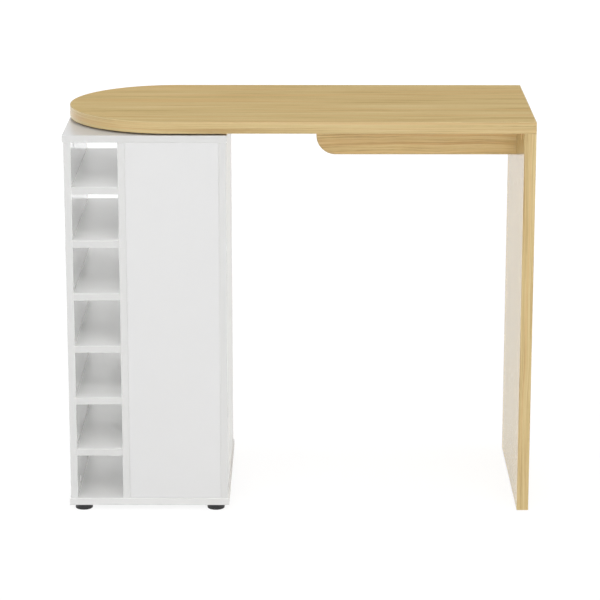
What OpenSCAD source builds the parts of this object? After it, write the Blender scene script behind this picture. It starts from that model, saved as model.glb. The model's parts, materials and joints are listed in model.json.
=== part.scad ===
// Swivel bar table: a white bottle cabinet on four glides carries one end of an oak-decor top.
// Top, leg panel and apron turn together on a pivot in the cabinet's top panel.
// Millimetres, +Z up. The origin is on the floor, under the middle of the whole table.
// The front, where bottles go in, looks along -Y.

/* [Table top] */
// Overall height of the table
table_h = 1020; // [900:5:1150]
// Length of the top, from the round end to the square end
top_l = 1185; // [1100:5:1500]
// Width of the top, front to back
top_w = 534; // [520:2:650]
// Thickness of the top
top_t = 30; // [25:1:40]
// Thickness of the glued edge bands
band_t = 2; // [1:0.5:3]
// Radius of the bands' outer edges
band_r = 1.5; // [0.5:0.1:2]

/* [Leg and apron] */
// Thickness of the leg panel
leg_t = 30; // [25:1:40]
// Thickness of the apron board
apron_t = 18; // [16:1:25]
// Height of the apron board
apron_h = 104; // [80:2:150]
// Distance of the apron's free end from the pivot axis
apron_reach = 370; // [364:1:480]
// Radius of the apron's free lower corner
apron_corner_r = 50; // [20:1:60]
// How far the leg's glides stand out below it
leg_glide_h = 1.5; // [1:0.5:5]
// Diameter of the leg's glides
leg_glide_d = 20; // [12:1:24]

/* [Cabinet] */
// Width of the cabinet's top and base panels
cab_w = 412; // [396:2:470]
// Depth of the cabinet's top and base panels
cab_d = 509; // [470:1:514]
// How far the top and base panels stand out past the sides
cab_overhang = 3; // [1:0.5:6]
// Distance from the round end of the top to the cabinet's left edge
cab_side_set = 0.5; // [0:0.5:10]
// Distance from the top's front edge to the cabinet's front edge
cab_front_set = 1; // [0:0.5:15]
// Thickness of the white boards
board_t = 18; // [16:1:22]
// Radius of the white boards' edges
board_r = 1; // [0.4:0.1:1.5]
// Air gap between the cabinet and the top
swivel_gap = 5; // [4:0.5:10]

/* [Bottle rack] */
// Clear width of the bottle niches
niche_w = 117; // [100:1:135]
// How much lower the first and last niche are than the others
end_niche_drop = 4.6; // [0:0.1:10]

/* [Rear compartment] */
// Distance of those shelves from the back edge of the sides
rear_shelf_set = 10; // [5:1:60]
// Joint line beside and above the front panel
front_reveal = 0.5; // [0.3:0.1:2]
// Joint line below the front panel
front_base_gap = 2; // [1:0.5:4]

/* [Feet] */
// Height of the cabinet's feet
foot_h = 14; // [10:1:30]
// Diameter of the cabinet's feet
foot_d = 45; // [30:1:60]
// Radius of the feet's lower edge
foot_r = 2; // [1:0.5:4]
// Distance from the base panel's left and right edges to the feet's middle
foot_side_set = 35; // [32:1:60]
// Distance from the base panel's front and back edges to the feet's middle
foot_front_set = 24; // [23:1:60]

/* [Pivot] */
// Diameter of the pivot pin
pin_d = 16; // [12:1:20]
// Diameter of the plate that carries the pin
plate_d = 110; // [100:1:130]
// Thickness of that plate
plate_t = 4; // [3:0.5:6]
// Diameter of the bush's flange, on which the plate turns
bush_flange_d = 70; // [50:1:80]
// Wall of the bush in the cabinet's top panel
bush_wall = 4; // [2:0.5:6]
// Number of screws that hold the plate
plate_screw_count = 6; // [3:1:8]
// Diameter of the glide pads round the bush
pad_d = 30; // [20:1:36]
// Distance of the glide pads from the pivot, along X
pad_reach_x = 110; // [100:1:115]
// Distance of the glide pads from the pivot, along Y
pad_reach_y = 140; // [110:1:160]

/* [Joinery] */
// Diameter of the beech dowels
dowel_d = 8; // [6:1:8]
// Length of the beech dowels
dowel_l = 25; // [20:1:30]
// Diameter of the cam locks
cam_d = 15; // [12:1:15]
// Distance of a cam lock's middle from the joint
cam_set = 24; // [22:1:34]
// Distance from a cabinet side's front and back edges to its cam locks
cam_edge_set = 90; // [75:1:120]
// Distance from a cabinet side's front and back edges to its nearest dowels
dowel_edge_set = 45; // [35:1:60]
// Distance from the leg's front and back edges to its cam locks
leg_cam_edge_set = 90; // [75:1:110]
// Distance from the leg's front and back edges to its nearest dowels
leg_dowel_edge_set = 35; // [25:1:50]
// Distance between the two dowels on each side of the leg
leg_dowel_pitch = 125; // [110:1:150]
// Distance from the apron's ends to its cam locks along the top
apron_cam_end_set = 110; // [100:1:130]
// Distance from the apron's ends to its dowels along the top
apron_dowel_end_set = 65; // [60:1:75]

/* [Hidden] */
$fn = 64;
eps = 0.01;

oak = "#b9a37c";
oak_edge = "#c6b084";
white = "#e6e6e5";
steel = "#b4b5b3";
zinc = "#a9a9a4";
nylon = "#dcdad2";
beech = "#d8b98c";
black = "#242424";

// Clearances
running_fit = 0.05; // radial, pin in bush
glued_fit = 0.1; // radial, what sits still in a bore
bolt_fit = 0.5; // radial, cam bolt in its long bore
axial_play = 0.2; // between the washer that turns and the one that stands still
shelf_fit = 0.5; // beside a loose shelf

// Places along Z
top_z = table_h - top_t;
cab_top_z = top_z - swivel_gap;
cab_ceiling_z = cab_top_z - board_t;
base_top_z = foot_h + board_t;

// Places along X and Y
left_x = -top_l / 2;
right_x = top_l / 2;
front_y = -top_w / 2;
round_r = top_w / 2;
pivot_x = left_x + round_r;
leg_inner_x = right_x - leg_t;
apron_x = pivot_x + apron_reach;
cab_x = left_x + cab_side_set;
cab_y = front_y + cab_front_set;
body_x = cab_x + cab_overhang;
body_y = cab_y + cab_overhang;
body_w = cab_w - 2 * cab_overhang;
body_d = cab_d - 2 * cab_overhang;
body_back_y = body_y + body_d;
niche_x = body_x + board_t;
divider_x = niche_x + niche_w;
room_x = divider_x + board_t;
right_side_x = body_x + body_w - board_t;
room_w = right_side_x - room_x;
inner_h = cab_ceiling_z - base_top_z;

// Bottle shelves, counted from the top, with a niche above each and one below the last
shelf_count = 6;
niche_count = shelf_count + 1;
niche_h = (inner_h - shelf_count * board_t + 2 * end_niche_drop) / niche_count;
niche_pitch = niche_h + board_t;
function shelf_z(i) = cab_ceiling_z + end_niche_drop + board_t - i * niche_pitch;

// Rear shelves, counted from the top
rear_shelf_count = 3;
rear_pitch = (inner_h + board_t) / (rear_shelf_count + 1);
function rear_shelf_z(i) = cab_ceiling_z + board_t - i * rear_pitch;
rear_shelf_y = body_y + board_t + shelf_fit;
rear_shelf_d = body_back_y - rear_shelf_set - rear_shelf_y;

// A joint is a place and a turn: its own +Z goes into the face of the board that is met,
// its -Z goes into the edge of the board that meets it, and its +X is the side of the cam lock.
bore_floor = 1; // kept short of the middle of a board that two dowels meet
bolt_bite = 11; // thread of a cam bolt in the board that is met
bite = board_t / 2 - bore_floor;
upright_mids = [body_x + board_t / 2, divider_x + board_t / 2, right_side_x + board_t / 2];
upright_turns = [0, 0, 180];
cam_ys = [body_y + cam_edge_set, body_back_y - cam_edge_set];
dowel_ys = [body_y + dowel_edge_set, (body_y + body_back_y) / 2, body_back_y - dowel_edge_set];
function carcass_joints(ys) = [
    for (i = [0:2], y = ys, up = [true, false])
        [[upright_mids[i], y, up ? cab_ceiling_z : base_top_z], [up ? 0 : 180, 0, upright_turns[i]]]
];
carcass_cams = carcass_joints(cam_ys);
carcass_dowel_places = carcass_joints(dowel_ys);

bottle_shelf_dowel_places = [
    for (i = [1:shelf_count], y = cam_ys, right = [true, false])
        [[right ? divider_x : niche_x, y, shelf_z(i) - board_t / 2], [0, right ? 90 : -90, 0]]
];
front_panel_mid_y = body_y + board_t / 2;
front_panel_dowel_places = [
    for (k = [1, 3], up = [true, false])
        [[room_x + k * room_w / 4, front_panel_mid_y, up ? cab_ceiling_z : base_top_z], [up ? 0 : 180, 0, 0]]
];

leg_mid_x = leg_inner_x + leg_t / 2;
leg_cams = [
    for (s = [-1, 1]) [[leg_mid_x, s * (round_r - leg_cam_edge_set), top_z], [0, 0, 180]]
];
leg_dowel_places = [
    for (s = [-1, 1], k = [0, 1])
        [[leg_mid_x, s * (round_r - leg_dowel_edge_set - k * leg_dowel_pitch), top_z], [0, 0, 0]]
];

apron_mid_x = (apron_x + leg_inner_x) / 2;
apron_end_drop = 15; // of the cam lock in the apron's end, below the middle of its height
apron_end_pitch = 22; // from that cam lock up and down to a dowel
apron_end_z = top_z - apron_h / 2 - apron_end_drop;
apron_end_turn = [90, 0, 90];
apron_cams = concat(
    [for (x = [apron_x + apron_cam_end_set, leg_inner_x - apron_cam_end_set]) [[x, 0, top_z], [0, 0, 90]]],
    [[[leg_inner_x, 0, apron_end_z], apron_end_turn]]
);
apron_dowel_places = concat(
    [
        for (x = [apron_x + apron_dowel_end_set, apron_mid_x, leg_inner_x - apron_dowel_end_set])
            [[x, 0, top_z], [0, 0, 90]]
    ],
    [for (k = [-1, 1]) [[leg_inner_x, 0, apron_end_z + k * apron_end_pitch], apron_end_turn]]
);

// Pivot, from the plate down
bush_d = pin_d + 2 * bush_wall;
shoulder_step = 2; // from the pin down to its thread, on the radius
thread_d = pin_d - 2 * shoulder_step;
thread_chamfer = 1;
thread_spare = 4; // of thread below the lock nut
thrust_t = 2; // thickness of the nylon washer
washer_t = 3; // thickness of the steel washer
washer_rim = 12; // of the steel washer, round the pin
thrust_rim = 5; // of the nylon washer, round the steel one
nut_h = 12; // height of the lock nut with its collar
nut_collar_h = 3;
nut_wall = 3.5; // least wall of the nut round its thread
shoulder_z = cab_ceiling_z - thrust_t - axial_play;
nut_z = shoulder_z - washer_t;
nut_af = thread_d + 2 * nut_wall;
thread_end_z = nut_z - nut_h - thread_spare;
washer_d = pin_d + 2 * washer_rim;
thrust_d = washer_d + 2 * thrust_rim;
plate_screw_edge_set = 11; // from the plate's rim to its screws
plate_screw_circle_r = plate_d / 2 - plate_screw_edge_set;
plate_screw_d = 4.5;
plate_screw_head_d = 9;
plate_screw_l = 22;
screw_tip = 4; // length of a wood screw's point
screw_tip_d = 0.6;
cross_l = 4.4; // arms of a screw's cross recess
cross_w = 1;
cross_depth = 1.5;

module at(joints) {
    for (j = joints) translate(j[0]) rotate(j[1]) children();
}

// Rectangle with one corner at the origin and round corners
module soft_rect(w, h, r) {
    translate([r, 0]) square([w - 2 * r, h]);
    translate([0, r]) square([w, h - 2 * r]);
    for (x = [r, w - r], y = [r, h - r]) translate([x, y]) circle(r);
}

// Board whose long edges along X are rounded, as for a shelf
module shelf_board(w, d, t, r) {
    rotate([90, 0, 90]) linear_extrude(w) soft_rect(d, t, r);
}

// Board whose upright edges are rounded, as for a side
module upright_board(t, d, h, r) {
    linear_extrude(h) soft_rect(t, d, r);
}

// Board rounded along all four edges of both faces, as for a lid
module lid_board(w, d, t, r) {
    intersection() {
        rotate([90, 0, 90]) linear_extrude(w) soft_rect(d, t, r);
        translate([0, d, 0]) rotate([90, 0, 0]) linear_extrude(d) soft_rect(w, t, r);
    }
}

// Beech dowel with bevelled ends, and the bore for it
module dowel() {
    bevel = 1;
    length = dowel_l - 2 * glued_fit;
    translate([0, 0, bite - glued_fit - length]) {
        cylinder(h = bevel, d1 = dowel_d - 2 * bevel, d2 = dowel_d);
        translate([0, 0, bevel]) cylinder(h = length - 2 * bevel, d = dowel_d);
        translate([0, 0, length - bevel]) cylinder(h = bevel, d1 = dowel_d, d2 = dowel_d - 2 * bevel);
    }
}

module dowel_bore() {
    translate([0, 0, bite - dowel_l]) cylinder(h = dowel_l, d = dowel_d + 2 * glued_fit);
}

// Cam lock: a drum whose hollow takes the bolt's head, with a cross recess for the screwdriver
cam_over = 4.5; // of the drum past the middle of the board
head_l = 4; // length of a cam bolt's head
shaft_d = 7;
neck_d = 4.5;
neck_l = 6;
bolt_thread_d = 6;
bolt_tip_l = 2;
bolt_tip_d = 3;
cam_cross_w = 1.4;
cam_cross_depth = 2.5;

module cam_lock(t) {
    depth = t / 2 + cam_over;
    translate([0, 0, -cam_set]) rotate([0, 90, 0]) difference() {
        translate([0, 0, -cam_over]) cylinder(h = depth, d = cam_d);
        rotate([0, -90, 0]) translate([0, 0, -head_l]) cylinder(h = cam_d, d = shaft_d + 2 * bolt_fit);
        for (a = [0, 90]) rotate([0, 0, a])
            translate([-cam_d / 4, -cam_cross_w / 2, t / 2 - cam_cross_depth])
                cube([cam_d / 2, cam_cross_w, cam_cross_depth + 1]);
    }
}

module cam_bore(t) {
    depth = t / 2 + cam_over + glued_fit;
    translate([0, 0, -cam_set]) rotate([0, 90, 0])
        translate([0, 0, -cam_over - glued_fit]) cylinder(h = depth + 1, d = cam_d + 2 * glued_fit);
    translate([0, 0, -cam_set]) cylinder(h = cam_set + 1, d = shaft_d + 2 * bolt_fit);
}

// Cam bolt: thread in the board that is met, then shaft, neck and head in the board that meets it
module cam_bolt() {
    neck_z = -cam_set + head_l / 2;
    thread_l = bolt_bite - bolt_tip_l;
    translate([0, 0, neck_z - head_l]) cylinder(h = head_l, d = shaft_d);
    translate([0, 0, neck_z - eps]) cylinder(h = neck_l + 2 * eps, d = neck_d);
    translate([0, 0, neck_z + neck_l]) cylinder(h = -neck_z - neck_l, d = shaft_d);
    translate([0, 0, -eps]) cylinder(h = thread_l, d = bolt_thread_d);
    translate([0, 0, thread_l - 2 * eps])
        cylinder(h = bolt_tip_l - glued_fit, d1 = bolt_thread_d, d2 = bolt_tip_d);
}

module bolt_bore() {
    translate([0, 0, -1]) cylinder(h = bolt_bite + 1, d = bolt_thread_d + 2 * glued_fit);
}

// Outline of the top, drawn in by inset all round: a half round and a rectangle
module top_outline(inset) {
    difference() {
        translate([pivot_x, 0]) circle(r = round_r - inset, $fn = 180);
        translate([pivot_x, -top_w]) square([top_w, 2 * top_w]);
    }
    translate([pivot_x, front_y + inset])
        square([right_x - inset - pivot_x, top_w - 2 * inset]);
}

// Half of a lying soft_rect, for the round end of the band
module band_section() {
    difference() {
        translate([-round_r, 0]) soft_rect(2 * round_r, top_t, band_r);
        translate([-2 * round_r, -1]) square([2 * round_r, top_t + 2]);
    }
}

// Whole top with rounded outer edges
module top_slab() {
    straight = right_x - pivot_x;
    translate([pivot_x, 0, top_z]) rotate([0, 0, 90]) rotate_extrude(angle = 180, $fn = 180) band_section();
    intersection() {
        translate([pivot_x, front_y, top_z]) rotate([90, 0, 90])
            linear_extrude(straight) soft_rect(top_w, top_t, band_r);
        translate([right_x - 2 * straight, -front_y, top_z]) rotate([90, 0, 0])
            linear_extrude(top_w) soft_rect(2 * straight, top_t, band_r);
    }
}

module plate_screw_places() {
    for (i = [0:plate_screw_count - 1])
        translate([pivot_x, 0, top_z]) rotate([0, 0, (i + 0.5) * 360 / plate_screw_count])
            translate([plate_screw_circle_r, 0, 0]) children();
}

module table_top() {
    color(oak) difference() {
        translate([0, 0, top_z]) linear_extrude(top_t) top_outline(band_t);
        translate([pivot_x, 0, top_z - 1]) cylinder(h = plate_t + 1, d = plate_d + 2 * glued_fit, $fn = 128);
        plate_screw_places() cylinder(h = plate_screw_l + glued_fit, d = plate_screw_d + 2 * glued_fit);
        at(leg_cams) bolt_bore();
        at(leg_dowel_places) dowel_bore();
        intersection() {
            translate([0, 0, top_z - 1]) linear_extrude(top_t) top_outline(band_t + 1);
            union() {
                at(apron_cams) bolt_bore();
                at(apron_dowel_places) dowel_bore();
            }
        }
    }
}

module top_edge_band() {
    color(oak_edge) difference() {
        top_slab();
        translate([0, 0, top_z - 1]) linear_extrude(top_t + 2) top_outline(band_t);
    }
}

module leg_panel() {
    color(oak) difference() {
        translate([leg_inner_x, front_y + band_t, leg_glide_h])
            cube([leg_t, top_w - 2 * band_t, top_z - leg_glide_h]);
        at(leg_cams) cam_bore(leg_t);
        at(leg_dowel_places) dowel_bore();
        at(apron_cams) bolt_bore();
        at(apron_dowel_places) dowel_bore();
        leg_glide_places() cylinder(h = nail_l + glued_fit, d = nail_d + 2 * glued_fit);
    }
}

module leg_edge_bands() {
    color(oak_edge) difference() {
        translate([leg_inner_x, front_y, leg_glide_h])
            upright_board(leg_t, top_w, top_z - leg_glide_h, band_r);
        translate([leg_inner_x - 1, front_y + band_t, 0])
            cube([leg_t + 2, top_w - 2 * band_t, table_h]);
    }
}

nail_l = 18;
nail_d = 3;
nail_tip_l = 3;
leg_glide_set = 45; // from the leg's front and back edges to its glides

module leg_glide_places() {
    for (s = [-1, 1]) translate([leg_mid_x, s * (round_r - leg_glide_set), leg_glide_h]) children();
}

module leg_glides() {
    color(black) leg_glide_places() {
        translate([0, 0, -leg_glide_h])
            cylinder(h = leg_glide_h, d1 = leg_glide_d - leg_glide_h, d2 = leg_glide_d);
        cylinder(h = nail_l - nail_tip_l, d = nail_d);
        translate([0, 0, nail_l - nail_tip_l - eps])
            cylinder(h = nail_tip_l, d1 = nail_d, d2 = screw_tip_d);
    }
}

// Side view of the apron, drawn in by inset at its free end and below
module apron_outline(inset) {
    r = apron_corner_r - inset;
    x = apron_x + inset;
    z = top_z - apron_h + inset;
    translate([x, z + r]) square([r, top_z - z - r]);
    translate([x + r, z]) square([leg_inner_x - x - r, top_z - z]);
    intersection() {
        translate([x + r, z + r]) circle(r, $fn = 128);
        translate([x, z]) square([r, r]);
    }
}

module apron_prism(t, inset) {
    translate([0, t / 2, 0]) rotate([90, 0, 0]) linear_extrude(t) apron_outline(inset);
}

module apron_board() {
    color(oak) difference() {
        apron_prism(apron_t, band_t);
        at(apron_cams) cam_bore(apron_t);
        at(apron_dowel_places) dowel_bore();
    }
}

module apron_edge_band() {
    color(oak_edge) difference() {
        apron_prism(apron_t, 0);
        apron_prism(apron_t + 2, band_t);
        translate([apron_x, -apron_t, top_z]) cube([leg_inner_x - apron_x + 1, 2 * apron_t, 2]);
    }
}

// Steel plate let into the underside of the top, with the turned pin welded to it
module pivot_plate() {
    color(steel) {
        difference() {
            translate([pivot_x, 0, top_z]) cylinder(h = plate_t, d = plate_d, $fn = 128);
            plate_screw_places() {
                translate([0, 0, -1]) cylinder(h = plate_t + 2, d = plate_screw_d + 2 * glued_fit);
                screw_head(glued_fit);
            }
        }
        translate([pivot_x, 0, shoulder_z]) cylinder(h = top_z - shoulder_z + eps, d = pin_d);
        translate([pivot_x, 0, thread_end_z + thread_chamfer])
            cylinder(h = shoulder_z - thread_end_z, d = thread_d);
        translate([pivot_x, 0, thread_end_z])
            cylinder(h = thread_chamfer + eps, d1 = thread_d - 2 * thread_chamfer, d2 = thread_d);
    }
}

// Countersunk head, widest at z = 0, grown by fit
module screw_head(fit) {
    head_h = (plate_screw_head_d - plate_screw_d) / 2;
    cylinder(h = head_h, d1 = plate_screw_head_d + 2 * fit, d2 = plate_screw_d + 2 * fit);
}

// Countersunk wood screw, head at z = 0, point up, with a cross recess
module wood_screw(l) {
    difference() {
        union() {
            screw_head(0);
            cylinder(h = l - screw_tip, d = plate_screw_d);
            translate([0, 0, l - screw_tip - eps])
                cylinder(h = screw_tip, d1 = plate_screw_d, d2 = screw_tip_d);
        }
        cross_recess();
    }
}

// Cross recess in a screw's head, whose face is at z = 0
module cross_recess() {
    for (a = [0, 90]) rotate([0, 0, a])
        translate([-cross_l / 2, -cross_w / 2, -1]) cube([cross_l, cross_w, cross_depth + 1]);
}

module pivot_plate_screws() {
    color(zinc) plate_screw_places() wood_screw(plate_screw_l);
}

module pivot_washer() {
    color(steel) translate([pivot_x, 0, nut_z]) difference() {
        cylinder(h = washer_t, d = washer_d);
        translate([0, 0, -1]) cylinder(h = washer_t + 2, d = thread_d + 2 * glued_fit);
    }
}

// Hexagon nut with chamfered corners and a collar that grips the thread
module pivot_lock_nut() {
    hex_h = nut_h - nut_collar_h;
    chamfer_d = nut_af * 1.02;
    color(steel) translate([pivot_x, 0, nut_z]) difference() {
        union() {
            intersection() {
                translate([0, 0, -hex_h]) cylinder(h = hex_h, d = nut_af / cos(30), $fn = 6);
                translate([0, 0, -hex_h]) cylinder(h = hex_h, d1 = chamfer_d, d2 = chamfer_d + 2 * hex_h);
            }
            translate([0, 0, -nut_h])
                cylinder(h = nut_collar_h + eps, d1 = thread_d + nut_wall / 2, d2 = nut_af - nut_wall / 2);
        }
        translate([0, 0, -nut_h - 1]) cylinder(h = nut_h + 2, d = thread_d + 2 * glued_fit);
    }
}

module leg_cam_locks() {
    color(zinc) at(leg_cams) cam_lock(leg_t);
}

module leg_cam_bolts() {
    color(zinc) at(leg_cams) cam_bolt();
}

module leg_dowels() {
    color(beech) at(leg_dowel_places) dowel();
}

module apron_cam_locks() {
    color(zinc) at(apron_cams) cam_lock(apron_t);
}

module apron_cam_bolts() {
    color(zinc) at(apron_cams) cam_bolt();
}

module apron_dowels() {
    color(beech) at(apron_dowel_places) dowel();
}

module pad_places() {
    for (sx = [-1, 1], sy = [-1, 1])
        translate([pivot_x + sx * pad_reach_x, sy * pad_reach_y, cab_top_z]) children();
}

peg_l = 10;
peg_d = 8;

module cabinet_top_panel() {
    color(white) difference() {
        translate([cab_x, cab_y, cab_ceiling_z]) lid_board(cab_w, cab_d, board_t, board_r);
        translate([pivot_x, 0, cab_ceiling_z - 1]) cylinder(h = board_t + 2, d = bush_d + 2 * glued_fit);
        pad_places() translate([0, 0, -peg_l - glued_fit]) cylinder(h = peg_l + 1, d = peg_d + 2 * glued_fit);
        at(carcass_cams) bolt_bore();
        at(carcass_dowel_places) dowel_bore();
        at(front_panel_dowel_places) dowel_bore();
    }
}

module cabinet_base_panel() {
    color(white) difference() {
        translate([cab_x, cab_y, foot_h]) lid_board(cab_w, cab_d, board_t, board_r);
        at(carcass_cams) bolt_bore();
        at(carcass_dowel_places) dowel_bore();
        at(front_panel_dowel_places) dowel_bore();
        foot_places() translate([0, 0, foot_h])
            cylinder(h = foot_screw_bite, d = foot_screw_d + 2 * glued_fit);
    }
}

module upright(x) {
    difference() {
        translate([x, body_y, base_top_z]) upright_board(board_t, body_d, inner_h, board_r);
        at(carcass_cams) cam_bore(board_t);
        at(carcass_dowel_places) dowel_bore();
        at(bottle_shelf_dowel_places) dowel_bore();
        rear_shelf_pin_places() pin_bore();
    }
}

module side_panel_left() {
    color(white) upright(body_x);
}

module side_panel_right() {
    color(white) upright(right_side_x);
}

module centre_divider() {
    color(white) upright(divider_x);
}

module front_panel() {
    h = inner_h - front_base_gap - front_reveal;
    color(white) difference() {
        translate([room_x + front_reveal, body_y, base_top_z + front_base_gap])
            upright_board(room_w - 2 * front_reveal, board_t, h, board_r);
        at(front_panel_dowel_places) dowel_bore();
    }
}

module bottle_shelf(i) {
    color(white) difference() {
        translate([niche_x, body_y, shelf_z(i) - board_t]) shelf_board(niche_w, body_d, board_t, board_r);
        at(bottle_shelf_dowel_places) dowel_bore();
    }
}

module rear_shelf(i) {
    color(white) translate([room_x + shelf_fit, rear_shelf_y, rear_shelf_z(i) - board_t])
        shelf_board(room_w - 2 * shelf_fit, rear_shelf_d, board_t, board_r);
}

// Steel shelf supports: an angle with a tongue under the shelf, and a pin in the side
support_pin_d = 5;
support_t = 2; // thickness of the angle's steel
support_w = 12;
tongue_l = 9;
support_set = 60; // from a rear shelf's front and back edges to its supports

module rear_shelf_pin_places() {
    ys = [rear_shelf_y + support_set, rear_shelf_y + rear_shelf_d - support_set];
    for (i = [1:rear_shelf_count], y = ys, right = [false, true])
        translate([right ? right_side_x : room_x, y, rear_shelf_z(i) - board_t])
            rotate([0, 0, right ? 180 : 0]) children();
}

module pin_bore() {
    translate([-bite, 0, -support_t - support_pin_d / 2]) rotate([0, 90, 0])
        cylinder(h = bite + 1, d = support_pin_d + 2 * glued_fit);
}

module rear_shelf_supports() {
    color(zinc) rear_shelf_pin_places() {
        translate([0, -support_w / 2, -support_t]) cube([tongue_l, support_w, support_t]);
        translate([glued_fit - bite, 0, -support_t - support_pin_d / 2]) rotate([0, 90, 0])
            cylinder(h = bite - glued_fit + support_t, d = support_pin_d);
        translate([0, -support_w / 2, -support_t - support_pin_d])
            cube([support_t, support_w, support_pin_d + eps]);
    }
}

// Nylon bush, moulded as one turned form: a sleeve in the top panel and a wide flange that
// bears the plate, with a bevel where the sleeve and the pin go in
module pivot_bush() {
    bevel = 1;
    bore_r = pin_d / 2 + running_fit;
    sleeve_r = bush_d / 2;
    flange_r = bush_flange_d / 2;
    color(nylon) translate([pivot_x, 0, 0]) rotate_extrude($fn = 128) polygon([
        [bore_r, cab_ceiling_z],
        [sleeve_r - bevel, cab_ceiling_z],
        [sleeve_r, cab_ceiling_z + bevel],
        [sleeve_r, cab_top_z],
        [flange_r, cab_top_z],
        [flange_r, top_z - bevel],
        [flange_r - bevel, top_z],
        [bore_r + bevel, top_z],
        [bore_r, top_z - bevel]
    ]);
}

module thrust_washer() {
    color(nylon) translate([pivot_x, 0, cab_ceiling_z - thrust_t]) difference() {
        cylinder(h = thrust_t, d = thrust_d);
        translate([0, 0, -1]) cylinder(h = thrust_t + 2, d = pin_d + 2 * glued_fit);
    }
}

module glide_pads() {
    bevel = 1;
    color(nylon) pad_places() {
        translate([0, 0, swivel_gap - bevel]) cylinder(h = bevel, d1 = pad_d, d2 = pad_d - 2 * bevel);
        cylinder(h = swivel_gap - bevel + eps, d = pad_d);
        translate([0, 0, -peg_l]) cylinder(h = peg_l + eps, d = peg_d);
    }
}

foot_screw_d = 4;
foot_screw_head_d = 8;
foot_screw_head_h = 2.5;
foot_screw_recess = 5; // from the floor to the seat of the screw's head
foot_screw_bite = 12; // of the screw in the base panel
foot_screw_tip = 3;
foot_xs = [cab_x + foot_side_set, cab_x + cab_w - foot_side_set];
foot_ys = [cab_y + foot_front_set, cab_y + cab_d - foot_front_set];

module foot_places() {
    for (x = foot_xs, y = foot_ys) translate([x, y, 0]) children();
}

// Turned foot with a rounded lower edge and a recessed screw
module foot(x, y) {
    color(black) translate([x, y, 0]) difference() {
        rotate_extrude($fn = 96) intersection() {
            translate([-foot_d / 2, 0]) union() {
                translate([0, foot_r]) square([foot_d, foot_h - foot_r]);
                translate([foot_r, 0]) square([foot_d - 2 * foot_r, foot_h - foot_r]);
                for (s = [foot_r, foot_d - foot_r]) translate([s, foot_r]) circle(foot_r);
            }
            square([foot_d, foot_h]);
        }
        translate([0, 0, -1]) cylinder(h = foot_screw_recess + 1, d = foot_screw_head_d + 2 * bolt_fit);
        translate([0, 0, -1]) cylinder(h = foot_h + 2, d = foot_screw_d + 2 * glued_fit);
    }
}

module foot_screws() {
    shank_top_z = foot_h + foot_screw_bite - foot_screw_tip;
    color(zinc) foot_places() difference() {
        union() {
            translate([0, 0, foot_screw_recess - foot_screw_head_h])
                cylinder(h = foot_screw_head_h, d = foot_screw_head_d);
            translate([0, 0, foot_screw_recess - eps])
                cylinder(h = shank_top_z - foot_screw_recess, d = foot_screw_d);
            translate([0, 0, shank_top_z - 2 * eps])
                cylinder(h = foot_screw_tip, d1 = foot_screw_d, d2 = screw_tip_d);
        }
        translate([0, 0, foot_screw_recess - foot_screw_head_h]) cross_recess();
    }
}

module carcass_cam_locks() {
    color(zinc) at(carcass_cams) cam_lock(board_t);
}

module carcass_cam_bolts() {
    color(zinc) at(carcass_cams) cam_bolt();
}

module carcass_dowels() {
    color(beech) at(carcass_dowel_places) dowel();
}

module bottle_shelf_dowels() {
    color(beech) at(bottle_shelf_dowel_places) dowel();
}

module front_panel_dowels() {
    color(beech) at(front_panel_dowel_places) dowel();
}

table_top();
top_edge_band();
leg_panel();
leg_edge_bands();
apron_board();
apron_edge_band();
leg_glides();
pivot_plate();
pivot_plate_screws();
pivot_washer();
pivot_lock_nut();
leg_cam_locks();
leg_cam_bolts();
leg_dowels();
apron_cam_locks();
apron_cam_bolts();
apron_dowels();
cabinet_top_panel();
cabinet_base_panel();
side_panel_left();
side_panel_right();
centre_divider();
front_panel();
bottle_shelf(1);  // bottle_shelf_1
bottle_shelf(2);  // bottle_shelf_2
bottle_shelf(3);  // bottle_shelf_3
bottle_shelf(4);  // bottle_shelf_4
bottle_shelf(5);  // bottle_shelf_5
bottle_shelf(6);  // bottle_shelf_6
rear_shelf(1);  // rear_shelf_1
rear_shelf(2);  // rear_shelf_2
rear_shelf(3);  // rear_shelf_3
rear_shelf_supports();
pivot_bush();
thrust_washer();
glide_pads();
foot(foot_xs[0], foot_ys[0]);  // foot_front_left
foot(foot_xs[1], foot_ys[0]);  // foot_front_right
foot(foot_xs[0], foot_ys[1]);  // foot_rear_left
foot(foot_xs[1], foot_ys[1]);  // foot_rear_right
foot_screws();
carcass_cam_locks();
carcass_cam_bolts();
carcass_dowels();
bottle_shelf_dowels();
front_panel_dowels();
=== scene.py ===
"""Looks of a swivel bar table: oak decor top, leg and apron on a white bottle cabinet.

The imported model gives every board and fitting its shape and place. This script gives them their
materials, adds the small cover caps and the filler beads round the front panel, and sets the floor,
the light and the camera.
Metres, with the origin on the floor under the middle of the table and the front along -Y.
"""

import json
import math

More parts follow.
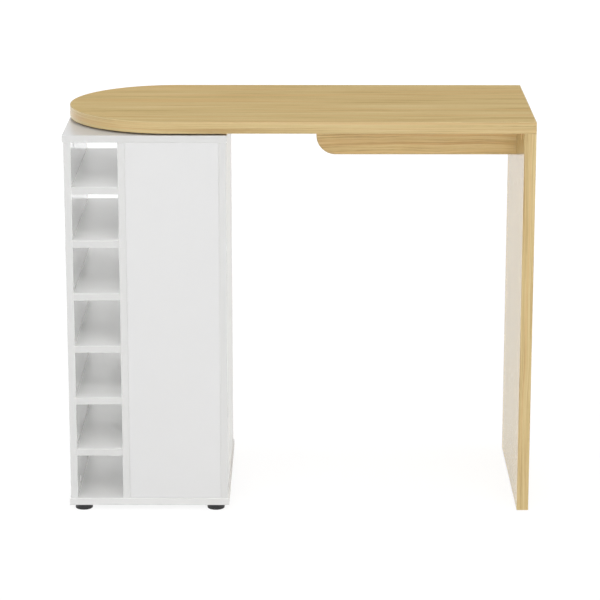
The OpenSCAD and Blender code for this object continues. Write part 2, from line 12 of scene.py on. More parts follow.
import bmesh
import bpy
from mathutils import Euler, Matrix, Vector


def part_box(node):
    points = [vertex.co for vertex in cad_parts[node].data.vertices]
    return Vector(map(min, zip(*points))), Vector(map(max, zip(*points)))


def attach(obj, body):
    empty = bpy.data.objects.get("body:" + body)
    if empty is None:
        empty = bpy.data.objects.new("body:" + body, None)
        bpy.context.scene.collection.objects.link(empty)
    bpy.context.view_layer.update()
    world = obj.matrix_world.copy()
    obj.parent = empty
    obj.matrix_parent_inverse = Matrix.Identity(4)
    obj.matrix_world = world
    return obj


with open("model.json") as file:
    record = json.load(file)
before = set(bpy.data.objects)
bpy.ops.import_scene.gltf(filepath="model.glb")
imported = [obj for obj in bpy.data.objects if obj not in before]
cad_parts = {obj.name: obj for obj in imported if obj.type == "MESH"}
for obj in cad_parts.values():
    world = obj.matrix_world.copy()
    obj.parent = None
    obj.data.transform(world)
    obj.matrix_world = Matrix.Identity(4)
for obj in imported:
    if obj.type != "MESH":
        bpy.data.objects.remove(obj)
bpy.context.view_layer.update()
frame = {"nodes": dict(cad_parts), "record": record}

MM = 0.001
X, Y, Z = 0, 1, 2

# Camera fitted to the photograph's edges without shift: place, turns in radians, and focal length and
# picture's side in pixels
CAMERA_PLACE = (0.0196, -6.7645, 2.2525)
CAMERA_DOWN = 0.2545
CAMERA_RIGHT = -0.0026
SENSOR_WIDTH = 36
IMAGE_SIDE = 600
FOCAL_PIXELS = 2651
FAR_CLIP = 200

# Sky, whose light grows with a power of the rise from the horizon to overhead
SKY_TOP_LEVEL = 0.5
SKY_POWER = 2.0

# Lamps, given by degrees round from the front, degrees up, and watts
SOFTBOX_SIZE = 4.0
SOFTBOX_DISTANCE = 10.0
SOFTBOX_AIM = (0, 0, 0.5)
SOFTBOXES = (
    (0, 14, 290),
    (-28, 35, 150),
    (28, 35, 150),
    (180, 14, 540),
    (152, 32, 38),
    (208, 32, 38),
    (-90, 20, 225),
    (90, 20, 180),
    (0, 80, 120),
)

# Floor. The lamps light it near the object only, so the glow that lifts it to white has a share
# that grows from the near one to 1 far off.
FLOOR_HALF = 40
FLOOR_ALBEDO = 0.93
FLOOR_GLOW = 1.09
NEAR_LIFT = 0.8
FLOOR_NEAR = 1.5
FLOOR_FAR = 6.0

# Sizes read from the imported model
BAND_LOW, BAND_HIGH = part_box("top_edge_band")
ROUND_R = (BAND_HIGH.y - BAND_LOW.y) / 2
PIVOT_X = BAND_LOW.x + ROUND_R


# Node trees


def put(tree, kind, settings=None, inputs=None):
    """Adds one node, sets its properties and fills its inputs with values or links."""
    node = tree.nodes.new("ShaderNode" + kind)
    for name, value in (settings or {}).items():
        setattr(node, name, value)
    for name, value in (inputs or {}).items():
        fill(tree, node.inputs[name], value)
    return node


def fill(tree, socket, value):
    """Links value to the socket if it is an output, and otherwise sets it."""
    if isinstance(value, bpy.types.NodeSocket):
        tree.links.new(value, socket)
    else:
        socket.default_value = value


def maths(tree, operation, *values):
    """One Math node with its inputs in order. Returns its output."""
    node = put(tree, "Math", {"operation": operation})
    for socket, value in zip(node.inputs, values):
        fill(tree, socket, value)
    return node.outputs[0]


def plus(tree, a, b):
    return maths(tree, "ADD", a, b)


def minus(tree, a, b):
    return maths(tree, "SUBTRACT", a, b)


def times(tree, a, b):
    return maths(tree, "MULTIPLY", a, b)


def centred(tree, value, span):
    """Carries a value of 0 to 1 to half a span below and above nought."""
    return times(tree, minus(tree, value, 0.5), span)


def scaled(tree, value, low, high, to_low, to_high):
    """Carries value from low..high to to_low..to_high, clamped and smooth at both ends."""
    node = put(
        tree,
        "MapRange",
        {"interpolation_type": "SMOOTHSTEP"},
        {"Value": value, "From Min": low, "From Max": high, "To Min": to_low, "To Max": to_high},
    )
    return node.outputs[0]


def vector(tree, x, y, z):
    return put(tree, "CombineXYZ", inputs={"X": x, "Y": y, "Z": z}).outputs[0]


def split(tree, place):
    return put(tree, "SeparateXYZ", inputs={"Vector": place}).outputs


def object_place(tree):
    """Place on the piece itself, so that a pattern stays on a piece that turns."""
    return put(tree, "TexCoord").outputs["Object"]


def noise(tree, place, scale=1.0, detail=2.0):
    """Fractal noise from 0 to 1 at a place. The scale is in features to the metre."""
    return put(tree, "TexNoise", inputs={"Vector": place, "Scale": scale, "Detail": detail}).outputs[0]


# Most of a noise's values lie between these
NOISE_LOW = 0.3
NOISE_HIGH = 0.7


def rough_grain(tree, pattern, roughness, below, above):
    """Roughness that follows a noise, from so much below a middle value to so much above it."""
    return scaled(tree, pattern, NOISE_LOW, NOISE_HIGH, roughness - below, roughness + above)


def colour(tree, value, stops):
    """Colour ramp with smooth steps. Stops are pairs of a place from 0 to 1 and a linear colour."""
    ramp = put(tree, "ValToRGB", inputs={"Fac": value})
    ramp.color_ramp.interpolation = "EASE"
    elements = ramp.color_ramp.elements
    while len(elements) < len(stops):
        elements.new(0.5)
    for element, (place, rgb) in zip(elements, stops):
        element.position = place
        element.color = (*rgb, 1)
    return ramp.outputs[0]


def srgb(red, green, blue):
    """Linear colour of an 8 bit one."""
    shares = (c / 255 for c in (red, green, blue))
    return tuple(s / 12.92 if s <= 0.04045 else ((s + 0.055) / 1.055) ** 2.4 for s in shares)


# Places of a Mix node's colour sockets, whose names its other sockets share
MIX_BASE, MIX_OVER, MIX_RESULT = 6, 7, 2


def tinted(tree, base, amount, rgb):
    """Mixes a colour over base by amount."""
    node = put(tree, "Mix", {"data_type": "RGBA"})
    fill(tree, node.inputs["Factor"], amount)
    fill(tree, node.inputs[MIX_BASE], base)
    fill(tree, node.inputs[MIX_OVER], (*rgb, 1))
    return node.outputs[MIX_RESULT]


def new_material(name):
    material = bpy.data.materials.new(name)
    material.use_nodes = True
    material.node_tree.nodes.clear()
    return material, material.node_tree


def finish_shader(tree, inputs):
    """Principled shader with some values and links, as the material's surface."""
    shader = put(tree, "BsdfPrincipled", inputs=inputs)
    put(tree, "OutputMaterial", inputs={"Surface": shader.outputs[0]})


def bumped(tree, height, depth, strength=1.0):
    """Normal from a height of 0 to 1 that stands for depth in metres."""
    node = put(tree, "Bump", inputs={"Height": height, "Distance": depth, "Strength": strength})
    return node.outputs[0]


def face_distances(tree, place, low, high):
    """Distances on a box-shaped board to its three pairs of faces. On a face, one of them is nought."""
    near = []
    for part, a, b in zip(split(tree, place), low, high):
        near.append(maths(tree, "MINIMUM", minus(tree, part, a), minus(tree, b, part)))
    return near


def edge_distance(tree, near):
    """Distance to the nearest edge of the board, which is the middle one of its face distances."""
    least = maths(tree, "MINIMUM", near[0], near[1])
    most = maths(tree, "MAXIMUM", near[0], near[1])
    return maths(tree, "MAXIMUM", least, maths(tree, "MINIMUM", most, near[2]))


def edge_wear_and_highlight(tree, near, width, rub):
    """Mask along a board's edges, from 1 on the edge to 0 at a width from it, broken up by noise: wear on
    the white boards, and wear with a painted edge highlight on the oak.
    """
    return times(tree, scaled(tree, edge_distance(tree, near), 0.0, width, 1.0, 0.0), rub)


# The resin face of both kinds of board
BOARD_IOR = 1.45


# Oak decor

OAK_DARK = srgb(178, 146, 94)
OAK_MID = srgb(210, 186, 133)
OAK_LIGHT = srgb(222, 201, 152)
OAK_WARM = srgb(214, 176, 122)
OAK_PORE = srgb(150, 114, 70)
OAK_RUBBED_AND_HIGHLIGHT = srgb(236, 219, 181)
OAK_STOPS = ((0.05, OAK_DARK), (0.5, OAK_MID), (0.95, OAK_LIGHT))

# How far the fibre wanders sideways: a slow drift, and a ripple given along and across the board
DRIFT_SCALE = 3.1
DRIFT_REACH = 0.05
RIPPLE_ALONG = 9
RIPPLE_ACROSS = 22
RIPPLE_REACH = 0.007

# Patterns, by features to the metre along and across the grain, and octaves of finer detail
BROAD = (0.6, 24, 1.0)
STREAK = (1.3, 150, 2.0)
WARMTH = (0.5, 43, 1.0)
FIBRE = (14, 900, 2.0)
PORE = (70, 2600, 1.0)

# Noise levels at which warm streaks and pores start and are full
WARM_START = 0.45
WARM_FULL = 0.7
PORE_START = 0.60
PORE_FULL = 0.74

# How much of the paleness, the colour, the height or the roughness each of them moves
BROAD_SHARE = 0.30
STREAK_SHARE = 0.75
FIBRE_SHARE = 0.30
FIBRE_HEIGHT = 0.5
WARM_SHARE = 0.25
WARM_MOST = 0.5
PORE_SHARE = 0.22
PORE_ROUGHNESS = 0.15
PALE_SMOOTHNESS = 0.03
# The paleness between which the wood grows smoother
PALE_LOW = 0.2
PALE_HIGH = 0.8

OAK_RUB_SCALE = 40
# Width and share of the oak's lighter edges, which are partly wear and partly a painted edge highlight
OAK_WEAR_AND_HIGHLIGHT_WIDTH = 1.6 * MM
OAK_WEAR_AND_HIGHLIGHT_SHARE = 0.25
OAK_WEAR_POLISH = 0.08
OAK_BUMP = 0.04 * MM

# Width of the band's cross strip seen from above, with a little to spare, and how far the pattern of
# that strip lies from the long strip's
STRIP_WIDTH = 2.1 * MM
STRIP_SHIFT = 0.05

# Sideways part of the shift between two boards' patterns
SIDE_SHIFT = 0.37


def toned(rgb, tone):
    return tuple(t * c for t, c in zip(tone, rgb))


def board_grain(along, across, through):
    """Grain coordinates of a flat board, by its axes."""

    def place(tree):
        parts = split(tree, object_place(tree))
        return parts[along], parts[across], parts[through]

    return place


def top_band_grain(tree):
    """Grain coordinates of the top's edge band: one strip round the end, and one across the square end."""
    x, y, z = split(tree, object_place(tree))
    behind = maths(tree, "MAXIMUM", minus(tree, PIVOT_X, x), 0.0)
    ahead = maths(tree, "MAXIMUM", minus(tree, x, PIVOT_X), 0.0)
    arc = times(tree, maths(tree, "ARCTAN2", y, behind), ROUND_R)
    round_strip = plus(tree, arc, times(tree, maths(tree, "SIGN", y), ahead))
    square_end = maths(tree, "GREATER_THAN", x, BAND_HIGH.x - STRIP_WIDTH)
    along = put(tree, "Mix", inputs={"Factor": square_end, "A": round_strip, "B": y})
    return along.outputs["Result"], z, times(tree, square_end, STRIP_SHIFT)


def wandering(tree, along, across, through, waviness):
    """Moves the grain sideways, by some millimetres over the length of the board."""
    drift = noise(tree, vector(tree, along, across, through), DRIFT_SCALE, detail=1.0)
    ripple_along = times(tree, along, RIPPLE_ALONG)
    ripple_across = times(tree, across, RIPPLE_ACROSS)
    ripple = noise(tree, vector(tree, ripple_along, ripple_across, through))
    drift = centred(tree, drift, DRIFT_REACH * waviness)
    ripple = centred(tree, ripple, RIPPLE_REACH * waviness)
    return plus(tree, across, plus(tree, drift, ripple))


def oak(
    name,
    grain,
    shift,
    waviness=1.0,
    contrast=1.0,
    tone=(1, 1, 1),
    run=1.0,
    close=1.0,
    gloss=0.5,
    rough=0.2,
    box=None,
):
    """Oak decor: fine straight fibre, soft streaks, short pores and a faint broad tone.

    grain gives the coordinates along, across and through the wood, and shift moves the pattern, so
    that no two boards are alike. A run above 1 makes the streaks shorter and below 1 longer, and a
    close above 1 sets them closer together. A board that has its box gets lighter edges: partly wear,
    and partly a painted highlight along the edges.
    """
    material, tree = new_material(name)
    along, across, through = grain(tree)
    along = plus(tree, along, shift)
    across = plus(tree, across, shift * SIDE_SHIFT)
    across = wandering(tree, along, across, through, waviness)

    def stretched(lengthwise, crosswise, detail):
        """Noise with so many features to the metre along and across the grain."""
        place = vector(
            tree,
            times(tree, along, lengthwise * run),
            times(tree, across, crosswise * close),
            times(tree, through, crosswise * close),
        )
        return noise(tree, place, detail=detail)

    broad, streak, warmth, fibre, pore = (stretched(*p) for p in (BROAD, STREAK, WARMTH, FIBRE, PORE))

    pale = centred(tree, broad, BROAD_SHARE)
    pale = plus(tree, pale, centred(tree, streak, STREAK_SHARE))
    pale = plus(tree, pale, centred(tree, fibre, FIBRE_SHARE))
    pale = plus(tree, times(tree, pale, contrast), 0.5)
    warm = scaled(tree, warmth, WARM_START, WARM_FULL, 0.0, min(WARM_SHARE * contrast, WARM_MOST))
    pores = scaled(tree, pore, PORE_START, PORE_FULL, 0.0, 1.0)

    base = colour(tree, pale, [(place, toned(rgb, tone)) for place, rgb in OAK_STOPS])
    base = tinted(tree, base, warm, toned(OAK_WARM, tone))
    base = tinted(tree, base, times(tree, pores, PORE_SHARE), OAK_PORE)
    dull, smooth = rough + PALE_SMOOTHNESS, rough - PALE_SMOOTHNESS
    roughness = scaled(tree, pale, PALE_LOW, PALE_HIGH, dull, smooth)
    roughness = plus(tree, roughness, times(tree, pores, PORE_ROUGHNESS))
    if box:
        near = face_distances(tree, object_place(tree), *box)
        rub = noise(tree, vector(tree, along, across, through), OAK_RUB_SCALE, detail=3.0)
        wear = edge_wear_and_highlight(tree, near, OAK_WEAR_AND_HIGHLIGHT_WIDTH, rub)
        # Lighter edges: partly rubbed wear, partly a painted highlight along the edges.
        base = tinted(tree, base, times(tree, wear, OAK_WEAR_AND_HIGHLIGHT_SHARE), OAK_RUBBED_AND_HIGHLIGHT)
        roughness = minus(tree, roughness, times(tree, wear, OAK_WEAR_POLISH))
    height = minus(tree, times(tree, fibre, FIBRE_HEIGHT), pores)
    finish_shader(
        tree,
        {
            "Base Color": base,
            "Roughness": roughness,
            "Normal": bumped(tree, height, OAK_BUMP, strength=0.6),
            "IOR": BOARD_IOR,
            "Specular IOR Level": gloss,
        },
    )
    return material


# White melamine board

# White of the faces inside the cabinet. It is the same board as the outer faces, painted lighter to offset
# the shade in the niches and compartments: painted light.
INNER_WHITE_PAINTED_LIGHT = srgb(253, 253, 252)
WHITE_FRONT = srgb(226, 226, 226)
# Outer face of the right side: the same white as the front, painted a darker, cooler grey for the shade on
# that side: painted shade.
RIGHT_SIDE_PAINTED_SHADE = srgb(220, 223, 225)
WHITE_TAPE = srgb(220, 220, 219)
# Edge tape of the base panel, painted lighter than the other tape to offset the shade near the floor:
# painted light.
BASE_TAPE_PAINTED_LIGHT = srgb(229, 229, 228)
WHITE_RUBBED = srgb(226, 225, 220)
WHITE_SPECK = srgb(200, 200, 198)

PEARL_SCALE = 900
PEARL_ROUGHNESS = 0.015
PEARL_BUMP = 0.02 * MM
CLOUD_SCALE = 7
CLOUD_LIFT = 1.004
SPECK_SCALE = 2300
SPECK_START = 0.72
SPECK_FULL = 0.8
SPECK_SHARE = 0.05
WHITE_RUB_SCALE = 60
WHITE_WEAR_WIDTH = 1.2 * MM
WHITE_WEAR_SHARE = 0.20
# Depths below a board's faces between which the face's colour turns into the tape's
TAPE_START = 0.2 * MM
TAPE_FULL = 0.7 * MM
TAPE_ROUGHNESS = 0.03
COAT_ROUGHNESS = 0.08


def melamine(name, box, through, low_rgb, high_rgb, gloss, rough=0.2, coat=0.0, tape_rgb=WHITE_TAPE):
    """White melamine board with a fine pearl grain, edge tape a shade darker and soft edge wear.

    through is the axis from face to face, so the faces that don't look along it are taped edges.
    The face at its low end has the colour low_rgb, and the one at its high end high_rgb.
    The two are lit and shaded copies of one white: a face inside the cabinet gets the lighter one
    to offset its shade, which is painted light.
    """
    material, tree = new_material(name)
    low, high = box
    place = object_place(tree)
    pearl = noise(tree, place, PEARL_SCALE)
    cloud = noise(tree, place, CLOUD_SCALE)
    speck = noise(tree, place, SPECK_SCALE, detail=0.0)
    speck = scaled(tree, speck, SPECK_START, SPECK_FULL, 0.0, 1.0)
    near = face_distances(tree, place, low, high)
    tape = scaled(tree, near[through], TAPE_START, TAPE_FULL, 0.0, 1.0)
    wear = edge_wear_and_highlight(tree, near, WHITE_WEAR_WIDTH, noise(tree, place, WHITE_RUB_SCALE, detail=3.0))
    middle = (low[through] + high[through]) / 2
    upper = maths(tree, "GREATER_THAN", split(tree, place)[through], middle)

    lighter = tuple(CLOUD_LIFT * c for c in low_rgb)
    base = colour(tree, cloud, ((NOISE_LOW, low_rgb), (NOISE_HIGH, lighter)))
    # Each face takes its own white. The lighter white on faces inside the cabinet is painted light against
    # their shade.
    base = tinted(tree, base, upper, high_rgb)
    base = tinted(tree, base, tape, tape_rgb)
    base = tinted(tree, base, times(tree, wear, WHITE_WEAR_SHARE), WHITE_RUBBED)
    base = tinted(tree, base, times(tree, speck, SPECK_SHARE), WHITE_SPECK)
    # Gloss varies with the fine grain only: a slow change of it leaves faint contour lines in the light
    roughness = rough_grain(tree, pearl, rough, PEARL_ROUGHNESS, PEARL_ROUGHNESS)
    roughness = plus(tree, roughness, times(tree, tape, TAPE_ROUGHNESS))
    finish_shader(
        tree,
        {
            "Base Color": base,
            "Roughness": roughness,
            "Normal": bumped(tree, pearl, PEARL_BUMP, strength=0.5),
            "IOR": BOARD_IOR,
            "Specular IOR Level": gloss,
            "Coat Weight": coat,
            "Coat Roughness": COAT_ROUGHNESS,
        },
    )
    return material


# Plastics, metals and dowels

PLASTIC_IOR = 1.5
TEXTURE_SMOOTHER = 0.04
TEXTURE_ROUGHER = 0.06
SCUFF_SCALE = 90
SCUFF_START = 0.55
SCUFF_FULL = 0.7
SCUFF_SHARE = 0.06
SCUFF_GREY = (0.3, 0.3, 0.3)
TOOLING_SCALE = 150
TOOLING_STRETCH = 30
TOOLING_SMOOTHER = 0.07
TOOLING_ROUGHER = 0.08
TOOLING_BUMP = 0.01 * MM
STAIN_SCALE = 60
STAIN_FULL = 0.75
STAIN_DULLING = 0.72
FLECK_SCALE = 700
FLECK_START = 0.35
FLECK_FULL = 0.7
FLECK_BUMP = 0.05 * MM
BEECH_DARK = srgb(196, 158, 112)
BEECH_LIGHT = srgb(222, 188, 145)
BEECH_ROUGHNESS = 0.7


def plastic(name, rgb, roughness, grain, depth):
    """Moulded plastic with a fine spark-eroded texture, by its features to the metre and its depth."""
    material, tree = new_material(name)
    place = object_place(tree)
    texture = noise(tree, place, grain, detail=3.0)
    scuff = noise(tree, place, SCUFF_SCALE, detail=4.0)
    scuff = scaled(tree, scuff, SCUFF_START, SCUFF_FULL, 0.0, 1.0)
    finish_shader(
        tree,
        {
            "Base Color": tinted(tree, (*rgb, 1), times(tree, scuff, SCUFF_SHARE), SCUFF_GREY),
            "Roughness": rough_grain(tree, texture, roughness, TEXTURE_SMOOTHER, TEXTURE_ROUGHER),
            "Normal": bumped(tree, texture, depth),
            "IOR": PLASTIC_IOR,
        },
    )
    return material


def metal(name, rgb, roughness):
    """Turned or plated steel with fine tooling marks and slight staining."""
    material, tree = new_material(name)
    place = object_place(tree)
    x, y, z = split(tree, place)
    marks = vector(tree, x, y, times(tree, z, TOOLING_STRETCH))
    marks = noise(tree, marks, TOOLING_SCALE, detail=3.0)
    stain = noise(tree, place, STAIN_SCALE, detail=3.0)
    dull = tuple(STAIN_DULLING * c for c in rgb)
    finish_shader(
        tree,
        {
            "Base Color": colour(tree, stain, ((NOISE_LOW, rgb), (STAIN_FULL, dull))),
            "Roughness": rough_grain(tree, marks, roughness, TOOLING_SMOOTHER, TOOLING_ROUGHER),
            "Normal": bumped(tree, marks, TOOLING_BUMP),
            "Metallic": 1.0,
        },
    )
    return material


def beech(name):
    """Raw beech with short flecks."""
    material, tree = new_material(name)
    fleck = noise(tree, object_place(tree), FLECK_SCALE, detail=3.0)
    finish_shader(
        tree,
        {
            "Base Color": colour(tree, fleck, ((FLECK_START, BEECH_DARK), (FLECK_FULL, BEECH_LIGHT))),
            "Roughness": BEECH_ROUGHNESS,
            "Normal": bumped(tree, fleck, FLECK_BUMP),
        },
    )
    return material


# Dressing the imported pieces


def dress(node, material):
    """Gives a CAD node one material in place of its own."""
    slots = frame["nodes"][node].data.materials
    slots.clear()
    slots.append(material)


OAK_PIECES = {
    "table_top": dict(
        grain=board_grain(X, Y, Z),
        shift=3.1,
        waviness=0.4,
        contrast=1.8,
        tone=(1.035, 1.035, 1.05),
        run=2.4,
        gloss=0.0,
        rough=0.5,
    ),
    "top_edge_band": dict(
        grain=top_band_grain,
        shift=12.9,
        waviness=0.04,
        contrast=2.4,
        tone=(0.965, 0.965, 0.965),
        run=2.4,
        close=3.2,
        gloss=0.4,
    ),
    "leg_panel": dict(
        grain=board_grain(Z, Y, X),
        shift=11.9,
        contrast=1.2,
        # A lighter, more yellow tone: partly the board's own tone and partly painted sheen standing in for
        # the pale reflection on the leg's inner face.
        tone=(1.12, 1.13, 1.09),
        box=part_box("leg_panel"),
    ),
    "leg_edge_bands": dict(
        grain=board_grain(Z, X, Y),
        shift=15.2,
        waviness=0.3,
        contrast=2.3,
        run=3.0,
        close=3.2,
        gloss=0.4,
        box=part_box("leg_edge_bands"),
    ),
    "apron_board": dict(
        grain=board_grain(X, Z, Y),
        shift=19.6,
        waviness=0.6,
        contrast=2.5,
        # A lighter tone that offsets the shade under the top's overhang: painted light.
        tone=(1.19, 1.19, 1.17),
        run=2.4,
        close=1.9,
        box=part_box("apron_board"),
    ),
    "apron_edge_band": dict(
        grain=board_grain(X, Y, Z),
        shift=23.3,
        waviness=0.5,
        tone=(0.95, 0.95, 0.95),
    ),
}
for node, look in OAK_PIECES.items():
    dress(node, oak(node + "_oak", **look))

NICHE_WALL = dict(gloss=0.8, rough=0.12, coat=0.5)
# Faces inside the cabinet take the lighter white, painted lighter to offset their shade, and outer faces
# take the darker white.
WHITE_PIECES = {
    "cabinet_top_panel": dict(through=Z, low_rgb=INNER_WHITE_PAINTED_LIGHT, high_rgb=WHITE_FRONT, gloss=0.2),
    # The base panel's lighter edge tape is painted light against the shade near the floor.
    "cabinet_base_panel": dict(
        through=Z, low_rgb=WHITE_FRONT, high_rgb=INNER_WHITE_PAINTED_LIGHT, gloss=0.3, tape_rgb=BASE_TAPE_PAINTED_LIGHT
    ),
    "side_panel_left": dict(through=X, low_rgb=WHITE_FRONT, high_rgb=INNER_WHITE_PAINTED_LIGHT, **NICHE_WALL),
    # The outer face takes the darker, cooler grey, which is painted shade.
    "side_panel_right": dict(through=X, low_rgb=INNER_WHITE_PAINTED_LIGHT, high_rgb=RIGHT_SIDE_PAINTED_SHADE, gloss=0.5),
    "centre_divider": dict(through=X, low_rgb=INNER_WHITE_PAINTED_LIGHT, high_rgb=INNER_WHITE_PAINTED_LIGHT, **NICHE_WALL),
    "front_panel": dict(through=Y, low_rgb=WHITE_FRONT, high_rgb=INNER_WHITE_PAINTED_LIGHT, gloss=0.5),
}
# The other white boards are shelves
for part in frame["record"]["subparts"]:
    node = part["node"]
    if part["material_slot"] == "white_board" and node not in WHITE_PIECES:
        WHITE_PIECES[node] = dict(through=Z, low_rgb=INNER_WHITE_PAINTED_LIGHT, high_rgb=INNER_WHITE_PAINTED_LIGHT, gloss=0.1)
for node, look in WHITE_PIECES.items():
    dress(node, melamine(node + "_white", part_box(node), **look))

BLACK = (0.012, 0.012, 0.013)
NYLON = srgb(222, 219, 208)
STEEL = srgb(202, 202, 200)
ZINC = srgb(196, 197, 194)
BY_SLOT = {
    "black_plastic": plastic("black_plastic", BLACK, roughness=0.42, grain=1500, depth=0.05 * MM),
    "nylon": plastic("natural_nylon", NYLON, roughness=0.45, grain=1200, depth=0.02 * MM),
    "bright_steel": metal("bright_steel", STEEL, roughness=0.28),
    "zinc": metal("zinc_plate", ZINC, roughness=0.36),
    "beech": beech("raw_beech"),
}
for part in frame["record"]["subparts"]:
    if part["material_slot"] in BY_SLOT:
        dress(part["node"], BY_SLOT[part["material_slot"]])


# Cover caps and filler beads

# Radius and height of a cap's rings, from the crown to the rim
CAP_PROFILE = [(r * MM, h * MM) for r, h in ((3.4, 0.46), (6.2, 0.4), (7.6, 0.3), (8.2, 0.16), (8.4, 0.0))]
CAP_STEPS = 40
# Points of one drum lie nearer to each other than this, and those of two drums don't
DRUM_SPACE = 40 * MM
# Faces this near to one level count as flush
FLUSH = 0.05 * MM
# How far the beads beside and above the panel, and the one below it, lie behind its front
BEAD_RECESS = 0.1 * MM
LOW_BEAD_RECESS = 0.8 * MM
BEAD_DEPTH = 2 * MM
# Gap between a bead and the boards round it
BEAD_PLAY = 0.02 * MM
# Depth of the hollow in a bead's front, as a share of the bead's width, and where it starts and ends
BEAD_HOLLOW = 0.2
HOLLOW_START = 0.25
HOLLOW_END = 0.75


def new_piece(name, mesh, body, material):
    """Turns a bmesh into an object that rides on a body."""
    bmesh.ops.recalc_face_normals(mesh, faces=mesh.faces)
    data = bpy.data.meshes.new(name)
    mesh.to_mesh(data)
    mesh.free()
    data.materials.append(material)
    piece = bpy.data.objects.new(name, data)
    bpy.context.scene.collection.objects.link(piece)
    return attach(piece, body)


def corners(points):
    """Lowest and highest corner of the box round some points."""
    return [Vector([pick(point[axis] for point in points) for axis in (X, Y, Z)]) for pick in (min, max)]


def drums(node):
    """Boxes of the cam lock drums of a node, each as its lowest and highest corner."""
    groups = []
    for vertex in frame["nodes"][node].data.vertices:
        for group in groups:
            if (group[0] - vertex.co).length < DRUM_SPACE:
                group.append(vertex.co.copy())
                break
        else:
            groups.append([vertex.co.copy()])
    return [corners(group) for group in groups]


def drum_face(low, high, boards):
    """Middle of a drum's open face and the way it looks: the face that is flush with a board."""
    for board in boards:
        board_low, board_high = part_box(board)
        for axis in (X, Y):
            for drum_end, board_end, sign in ((high, board_high, 1), (low, board_low, -1)):
                if abs(drum_end[axis] - board_end[axis]) < FLUSH:
                    middle = (low + high) / 2
                    middle[axis] = drum_end[axis]
                    way = Vector((0, 0, 0))
                    way[axis] = sign
                    return middle, way
    raise ValueError("no board is flush with the drum")


def add_cap(mesh, middle, way):
    """Adds a shallow domed cap, turned about the way it looks, with a flat back on the board."""
    side = way.orthogonal().normalized()
    up = way.cross(side)
    turns = [2 * math.pi * k / CAP_STEPS for k in range(CAP_STEPS)]
    rings = []
    for radius, height in CAP_PROFILE:
        centre = middle + way * height
        spokes = [side * math.cos(turn) + up * math.sin(turn) for turn in turns]
        rings.append([mesh.verts.new(centre + spoke * radius) for spoke in spokes])
    for inner, outer in zip(rings, rings[1:]):
        for k in range(CAP_STEPS):
            after = (k + 1) % CAP_STEPS
            mesh.faces.new((inner[k], inner[after], outer[after], outer[k])).smooth = True
    mesh.faces.new(rings[0])
    mesh.faces.new(rings[-1])


def cover_caps(name, nodes, boards, body, material):
    """Caps over the open faces of the cam locks of some nodes."""
    mesh = bmesh.new()
    for node in nodes:
        for low, high in drums(node):
            add_cap(mesh, *drum_face(low, high, boards))
    return new_piece(name, mesh, body, material)


def add_bead(mesh, low, high):
    """Adds a bead of filler between two corners, with a hollow front."""
    across = X if high.x - low.x < high.z - low.z else Z
    start = low[across]
    width = high[across] - start
    hollow = low.y + BEAD_HOLLOW * width
    section = [
        (start, low.y),
        (start + HOLLOW_START * width, hollow),
        (start + HOLLOW_END * width, hollow),
        (high[across], low.y),
        (high[across], high.y),
        (start, high.y),
    ]
    ends = []
    for end in (low, high):
        ring = []
        for place, depth in section:
            corner = Vector((end.x, depth, end.z))
            corner[across] = place
            ring.append(mesh.verts.new(corner))
        ends.append(ring)
    for k in range(len(section)):
        after = (k + 1) % len(section)
        mesh.faces.new((ends[0][k], ends[0][after], ends[1][after], ends[1][k]))
    for ring in ends:
        mesh.faces.new(ring)


def panel_beads(material):
    """Filler round the front panel, whose joints the photograph shows pale and not dark."""
    panel_low, panel_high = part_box("front_panel")
    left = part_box("centre_divider")[1].x
    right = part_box("side_panel_right")[0].x
    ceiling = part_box("cabinet_top_panel")[0].z - BEAD_PLAY
    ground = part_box("cabinet_base_panel")[1].z + BEAD_PLAY
    front = panel_low.y + BEAD_RECESS
    back = front + BEAD_DEPTH
    mesh = bmesh.new()
    for x_low, x_high in ((left, panel_low.x), (panel_high.x, right)):
        low = Vector((x_low + BEAD_PLAY, front, panel_low.z))
        add_bead(mesh, low, Vector((x_high - BEAD_PLAY, back, ceiling)))
    low = Vector((panel_low.x, front, panel_high.z + BEAD_PLAY))
    add_bead(mesh, low, Vector((panel_high.x, back, ceiling)))
    low = Vector((panel_low.x, panel_low.y + LOW_BEAD_RECESS, ground))
    add_bead(mesh, low, Vector((panel_high.x, low.y + BEAD_DEPTH, panel_low.z - BEAD_PLAY)))
    return new_piece("front_panel_filler", mesh, "cabinet", material)


WHITE_LOCKS = ("carcass_cam_locks",)
WHITE_SIDES = ("side_panel_left", "centre_divider", "side_panel_right")
OAK_LOCKS = ("leg_cam_locks", "apron_cam_locks")
OAK_BOARDS = ("leg_panel", "apron_board")
white_cap = plastic("white_cap", WHITE_FRONT, roughness=0.35, grain=1200, depth=0.02 * MM)
oak_cap = plastic("oak_cap", OAK_MID, roughness=0.35, grain=1200, depth=0.02 * MM)
white_filler = plastic("white_filler", WHITE_FRONT, roughness=0.4, grain=1200, depth=0.01 * MM)
cover_caps("cam_caps_white", WHITE_LOCKS, WHITE_SIDES, "cabinet", white_cap)
cover_caps("cam_caps_oak", OAK_LOCKS, OAK_BOARDS, "table", oak_cap)
panel_beads(white_filler)


# Floor, light and camera


def seen_directly(tree):
    """1 where the camera looks, also in gloss or through something clear, and 0 for other light."""
    path = put(tree, "LightPath").outputs
    seen = maths(tree, "MAXIMUM", path["Is Camera Ray"], path["Is Glossy Ray"])
    return maths(tree, "MAXIMUM", seen, path["Is Transmission Ray"])


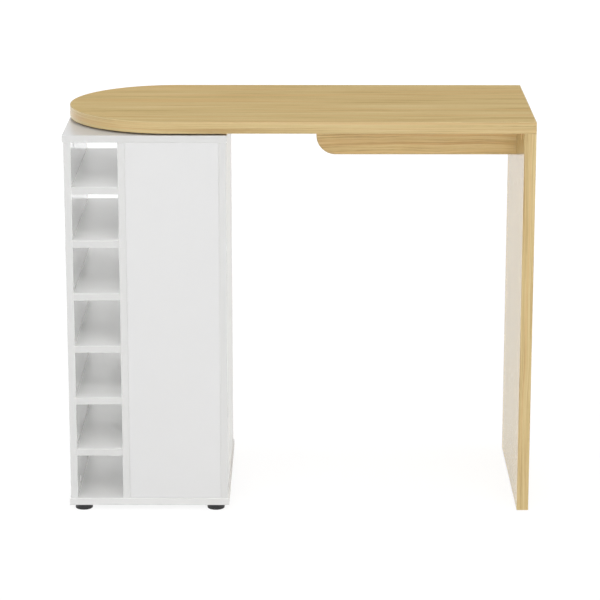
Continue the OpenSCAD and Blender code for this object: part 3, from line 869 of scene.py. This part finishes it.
def floor():
    """Pale floor that shows white to the camera and in gloss, and keeps the object's shadow."""
    mesh = bpy.data.meshes.new("floor")
    ways = ((-1, -1), (1, -1), (1, 1), (-1, 1))
    mesh.from_pydata([(FLOOR_HALF * x, FLOOR_HALF * y, 0) for x, y in ways], [], [(0, 1, 2, 3)])
    made = bpy.data.objects.new("floor", mesh)
    bpy.context.scene.collection.objects.link(made)
    material, tree = new_material("pale_floor")
    matt = put(tree, "BsdfDiffuse", inputs={"Color": (FLOOR_ALBEDO, FLOOR_ALBEDO, FLOOR_ALBEDO, 1)})
    glow = put(tree, "Emission", inputs={"Color": (1, 1, 1, 1), "Strength": FLOOR_GLOW})
    far = put(tree, "VectorMath", {"operation": "LENGTH"}, {"Vector": object_place(tree)}).outputs["Value"]
    lift = scaled(tree, far, FLOOR_NEAR, FLOOR_FAR, NEAR_LIFT, 1.0)
    mixed = put(tree, "MixShader", inputs={"Fac": times(tree, seen_directly(tree), lift)})
    for shader, socket in zip((matt, glow), mixed.inputs[1:]):
        fill(tree, socket, shader.outputs[0])
    put(tree, "OutputMaterial", inputs={"Surface": mixed.outputs[0]})
    mesh.materials.append(material)


def sky():
    """Soft light that grows from the horizon to overhead, with a white background for the camera."""
    world = bpy.data.worlds.new("studio")
    bpy.context.scene.world = world
    world.use_nodes = True
    tree = world.node_tree
    tree.nodes.clear()
    up = maths(tree, "MAXIMUM", split(tree, put(tree, "TexCoord").outputs["Generated"])[Z], 0.0)
    level = times(tree, maths(tree, "POWER", up, SKY_POWER), SKY_TOP_LEVEL)
    strength = put(tree, "Mix", inputs={"Factor": seen_directly(tree), "A": level, "B": 1.0})
    back = put(
        tree,
        "Background",
        inputs={"Color": (1, 1, 1, 1), "Strength": strength.outputs["Result"]},
    )
    put(tree, "OutputWorld", inputs={"Surface": back.outputs[0]})


def softbox(turn, rise, power):
    """Square lamp, so many degrees round from the front and up, that isn't seen in gloss."""
    data = bpy.data.lights.new("softbox", "AREA")
    data.shape = "SQUARE"
    data.size = SOFTBOX_SIZE
    data.energy = power
    made = bpy.data.objects.new("softbox", data)
    bpy.context.scene.collection.objects.link(made)
    made.visible_camera = False
    made.visible_glossy = False
    away = Vector((0, -SOFTBOX_DISTANCE, 0))
    away.rotate(Euler((-math.radians(rise), 0, math.radians(turn))))
    made.location = Vector(SOFTBOX_AIM) + away
    made.rotation_euler = (-away).to_track_quat("-Z", "Y").to_euler()


def camera():
    """The photograph's camera."""
    data = bpy.data.cameras.new("photo_camera")
    data.sensor_width = SENSOR_WIDTH
    data.lens = FOCAL_PIXELS * SENSOR_WIDTH / IMAGE_SIDE
    data.clip_end = FAR_CLIP
    made = bpy.data.objects.new("photo_camera", data)
    bpy.context.scene.collection.objects.link(made)
    made.location = CAMERA_PLACE
    made.rotation_euler = (math.pi / 2 - CAMERA_DOWN, 0, -CAMERA_RIGHT)
    bpy.context.scene.camera = made


floor()
sky()
for lamp in SOFTBOXES:
    softbox(*lamp)
camera()
bpy.context.scene.view_settings.view_transform = "Standard"
